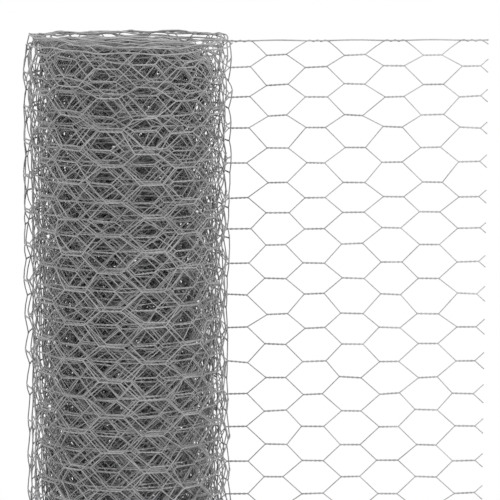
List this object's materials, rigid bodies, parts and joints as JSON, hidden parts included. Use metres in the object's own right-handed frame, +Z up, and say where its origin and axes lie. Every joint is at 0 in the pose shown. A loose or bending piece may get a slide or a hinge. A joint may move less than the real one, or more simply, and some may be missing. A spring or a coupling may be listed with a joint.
{
  "type": "roll of chicken wire",
  "caption": "Roll of galvanised hexagonal wire netting standing on its end with an open bore, its loose end unrolled flat and cut straight, for fencing and pens.",
  "frame": {"origin": "on the roll's axis, at floor level", "axes": "+Z up along the roll's axis, +X along the flat loose end towards its cut edge, +Y the side that the loose end leaves the roll from, which is behind it in the picture"},
  "size_m": [0.351, 0.1558, 0.5],
  "materials": {
    "galvanised_wire": "dull zinc, a little darker where wires cross"
  },
  "bodies": {
    "root": {"netting_roll": "galvanised_wire", "netting_flap": "galvanised_wire"}
  },
  "joints": []
}
